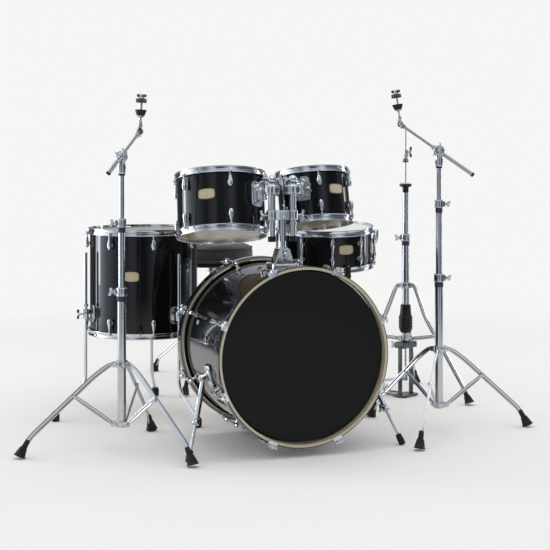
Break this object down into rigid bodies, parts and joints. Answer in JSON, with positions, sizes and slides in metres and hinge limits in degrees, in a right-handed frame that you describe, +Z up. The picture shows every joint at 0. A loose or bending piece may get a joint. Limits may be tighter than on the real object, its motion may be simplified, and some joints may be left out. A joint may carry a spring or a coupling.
{
  "type": "acoustic drum kit",
  "caption": "Acoustic drum kit: wood-hooped bass drum, tilting rack toms, floor tom and snare with boom cymbal stands, hi-hat stand, pedal and throne.",
  "frame": {"origin": "on the floor under the middle of the kit's overall box", "axes": "+Z up, bass drum facing -Y, drummer seated towards +Y, +X to the right of someone who faces the bass drum"},
  "size_m": [1.8691, 1.9127, 1.214],
  "materials": {
    "shell": "high-gloss black lacquer",
    "hoop_wood": "gloss black with a bare beige face",
    "head_black": "satin black film",
    "head_clear": "smooth film, tan",
    "head_white": "coated white film",
    "chrome": "polished",
    "stand": "polished, with black plastic sleeves and rubber feet",
    "rod": "drawn steel",
    "board": "cast, satin",
    "basket": "satin black",
    "seat": "dark grey cloth over foam"
  },
  "bodies": {
    "kit": {"bass_shell": "shell", "bass_hoops": "hoop_wood", "bass_heads": "head_black", "bass_lugs": "chrome", "bass_claws": "chrome", "spur_brackets": "stand", "holder_base": "stand", "floor_tom_shell": "shell", "floor_tom_hoops": "chrome", "floor_tom_heads": "head_clear", "floor_tom_lugs": "chrome", "snare_stand_base": "stand", "hat_base": "stand", "throne_base": "stand", "pedal_frame": "stand", "left_stand_base": "stand", "right_stand_base": "stand"},
    "spur_left": {"spur_left": "stand"},
    "spur_right": {"spur_right": "stand"},
    "tom_holder": {"holder_post": "stand"},
    "rack_tom_a": {"tom_a_arm": "stand", "tom_a_shell": "shell", "tom_a_hoops": "chrome", "tom_a_heads": "head_clear", "tom_a_lugs": "chrome"},
    "rack_tom_b": {"tom_b_arm": "stand", "tom_b_shell": "shell", "tom_b_hoops": "chrome", "tom_b_heads": "head_clear", "tom_b_lugs": "chrome"},
    "floor_tom_leg_1": {"floor_tom_leg_1": "rod"},
    "floor_tom_leg_2": {"floor_tom_leg_2": "rod"},
    "floor_tom_leg_3": {"floor_tom_leg_3": "rod"},
    "snare_drum": {"snare_stand_basket": "basket", "snare_shell": "shell", "snare_hoops": "chrome", "snare_heads": "head_white", "snare_lugs": "chrome", "snare_strainer": "chrome"},
    "strainer_lever": {"strainer_lever": "chrome"},
    "hat_tube": {"hat_tube": "stand"},
    "hat_rod": {"hat_rod": "rod"},
    "hat_footboard": {"hat_footboard": "board"},
    "throne_seat": {"throne_seat": "seat"},
    "pedal_footboard": {"pedal_footboard": "board"},
    "pedal_beater": {"pedal_beater": "stand"},
    "left_hub": {"left_stand_hub": "stand"},
    "left_leg_1": {"left_leg_1": "stand"},
    "left_brace_1": {"left_brace_1": "stand"},
    "left_leg_2": {"left_leg_2": "stand"},
    "left_brace_2": {"left_brace_2": "stand"},
    "left_leg_3": {"left_leg_3": "stand"},
    "left_brace_3": {"left_brace_3": "stand"},
    "left_mid_tube": {"left_stand_mid_tube": "stand"},
    "left_top_tube": {"left_stand_top_tube": "stand"},
    "left_boom": {"left_boom": "stand"},
    "left_cymbal_tilter": {"left_cymbal_tilter": "stand"},
    "right_mid_tube": {"right_stand_mid_tube": "stand"},
    "right_top_tube": {"right_stand_top_tube": "stand"},
    "right_boom": {"right_boom": "stand"}
  },
  "joints": [
    {"name": "spur_left_swing", "type": "hinge", "parent": "kit", "child": "spur_left", "pos_m": [-0.32319, -0.72085, 0.24684], "axis": [0.9659, 0, 0.2588], "range_deg": [0, 85]},
    {"name": "spur_right_swing", "type": "hinge", "parent": "kit", "child": "spur_right", "pos_m": [0.26023, -0.72085, 0.24684], "axis": [0.9659, 0, -0.2588], "range_deg": [0, 85]},
    {"name": "tom_holder_height", "type": "slide", "parent": "kit", "child": "tom_holder", "axis": [0, 0, 1], "range_m": [-0.03, 0.05]},
    {"name": "tom_a_tilt", "type": "hinge", "parent": "tom_holder", "child": "rack_tom_a", "pos_m": [-0.06948, -0.67885, 0.898], "axis": [-0.9848, 0.1736, 0], "range_deg": [-10, 8]},
    {"name": "tom_b_tilt", "type": "hinge", "parent": "tom_holder", "child": "rack_tom_b", "pos_m": [0.00652, -0.67885, 0.898], "axis": [-0.9994, -0.0349, 0], "range_deg": [-10, 8]},
    {"name": "floor_tom_leg_1_height", "type": "slide", "parent": "kit", "child": "floor_tom_leg_1", "axis": [0, 0, 1], "range_m": [0, 0.08]},
    {"name": "floor_tom_leg_2_height", "type": "slide", "parent": "kit", "child": "floor_tom_leg_2", "axis": [0, 0, 1], "range_m": [0, 0.08]},
    {"name": "floor_tom_leg_3_height", "type": "slide", "parent": "kit", "child": "floor_tom_leg_3", "axis": [0, 0, 1], "range_m": [0, 0.08]},
    {"name": "snare_tilt", "type": "hinge", "parent": "kit", "child": "snare_drum", "pos_m": [0.34252, -0.14585, 0.47], "axis": [0.9397, -0.342, 0], "range_deg": [-8, 8]},
    {"name": "strainer_throw", "type": "hinge", "parent": "snare_drum", "child": "strainer_lever", "pos_m": [0.52482, -0.19134, 0.64341], "axis": [0.236, 0.9693, 0.0693], "range_deg": [0, 80]},
    {"name": "hat_tube_height", "type": "slide", "parent": "kit", "child": "hat_tube", "axis": [0, 0, 1], "range_m": [-0.03, 0.04]},
    {"name": "hat_footboard_press", "type": "hinge", "parent": "kit", "child": "hat_footboard", "pos_m": [0.63039, 0.21503, 0.019], "axis": [0.891, 0.454, 0], "range_deg": [0, 8], "stiffness_Nm_per_rad": 12, "springref_deg": -20.05},
    {"name": "hat_rod_pull", "type": "slide", "parent": "kit", "child": "hat_rod", "axis": [0, 0, 1], "range_m": [-0.0366, 0]},
    {"name": "throne_seat_spin", "type": "hinge", "parent": "kit", "child": "throne_seat", "pos_m": [0.11152, 0.59615, 0.5], "axis": [0, 0, 1], "continuous": true},
    {"name": "pedal_footboard_press", "type": "hinge", "parent": "kit", "child": "pedal_footboard", "pos_m": [-0.03148, -0.11085, 0.019], "axis": [1, 0, 0], "range_deg": [0, 8], "stiffness_Nm_per_rad": 12, "springref_deg": -20.05},
    {"name": "pedal_beater_swing", "type": "hinge", "parent": "kit", "child": "pedal_beater", "pos_m": [-0.03148, -0.38285, 0.104], "axis": [1, 0, 0], "range_deg": [0, 45.6]},
    {"name": "left_hub_slide", "type": "slide", "parent": "kit", "child": "left_hub", "axis": [0, 0, 1], "range_m": [0, 0.1244]},
    {"name": "left_leg_1_fold", "type": "hinge", "parent": "left_hub", "child": "left_leg_1", "pos_m": [-0.59946, -0.60587, 0.29], "axis": [-0.0349, -0.9994, 0], "range_deg": [0, 40.2]},
    {"name": "left_brace_1_fold", "type": "hinge", "parent": "kit", "child": "left_brace_1", "pos_m": [-0.59946, -0.60587, 0.093], "axis": [0.0349, 0.9994, 0], "range_deg": [0, 39.7]},
    {"name": "left_leg_2_fold", "type": "hinge", "parent": "left_hub", "child": "left_leg_2", "pos_m": [-0.55833, -0.63157, 0.29], "axis": [0.8829, 0.4695, 0], "range_deg": [0, 40.2]},
    {"name": "left_brace_2_fold", "type": "hinge", "parent": "kit", "child": "left_brace_2", "pos_m": [-0.55833, -0.63157, 0.093], "axis": [-0.8829, -0.4695, 0], "range_deg": [0, 39.7]},
    {"name": "left_leg_3_fold", "type": "hinge", "parent": "left_hub", "child": "left_leg_3", "pos_m": [-0.55664, -0.5831, 0.29], "axis": [-0.848, 0.5299, 0], "range_deg": [0, 40.2]},
    {"name": "left_brace_3_fold", "type": "hinge", "parent": "kit", "child": "left_brace_3", "pos_m": [-0.55664, -0.5831, 0.093], "axis": [0.848, -0.5299, 0], "range_deg": [0, 39.7]},
    {"name": "left_mid_tube_height", "type": "slide", "parent": "kit", "child": "left_mid_tube", "axis": [0, 0, 1], "range_m": [-0.03, 0.1]},
    {"name": "left_top_tube_height", "type": "slide", "parent": "left_mid_tube", "child": "left_top_tube", "axis": [0, 0, 1], "range_m": [-0.04, 0.06]},
    {"name": "left_boom_tilt", "type": "hinge", "parent": "left_top_tube", "child": "left_boom", "pos_m": [-0.57148, -0.60685, 0.976], "axis": [0.342, 0.9397, 0], "range_deg": [-35, 40]},
    {"name": "left_cymbal_tilt", "type": "hinge", "parent": "left_boom", "child": "left_cymbal_tilter", "pos_m": [-0.52121, -0.65175, 1.05906], "axis": [0.342, 0.9397, 0], "range_deg": [-20, 20]},
    {"name": "right_mid_tube_height", "type": "slide", "parent": "kit", "child": "right_mid_tube", "axis": [0, 0, 1], "range_m": [-0.03, 0.1]},
    {"name": "right_top_tube_height", "type": "slide", "parent": "right_mid_tube", "child": "right_top_tube", "axis": [0, 0, 1], "range_m": [-0.04, 0.06]},
    {"name": "right_boom_tilt", "type": "hinge", "parent": "right_top_tube", "child": "right_boom", "pos_m": [0.56652, -0.66785, 0.996], "axis": [-0.342, -0.9397, 0], "range_deg": [-35, 30]}
  ],
  "couplings": [
    {"joint": "hat_rod_pull", "follows": "hat_footboard_press", "m_per_rad": -0.2607},
    {"joint": "pedal_beater_swing", "follows": "pedal_footboard_press", "ratio": 5.69},
    {"joint": "left_leg_1_fold", "follows": "left_hub_slide", "rad_per_m": 5.612},
    {"joint": "left_brace_1_fold", "follows": "left_hub_slide", "rad_per_m": 5.53},
    {"joint": "left_leg_2_fold", "follows": "left_hub_slide", "rad_per_m": 5.612},
    {"joint": "left_brace_2_fold", "follows": "left_hub_slide", "rad_per_m": 5.53},
    {"joint": "left_leg_3_fold", "follows": "left_hub_slide", "rad_per_m": 5.612},
    {"joint": "left_brace_3_fold", "follows": "left_hub_slide", "rad_per_m": 5.53}
  ]
}
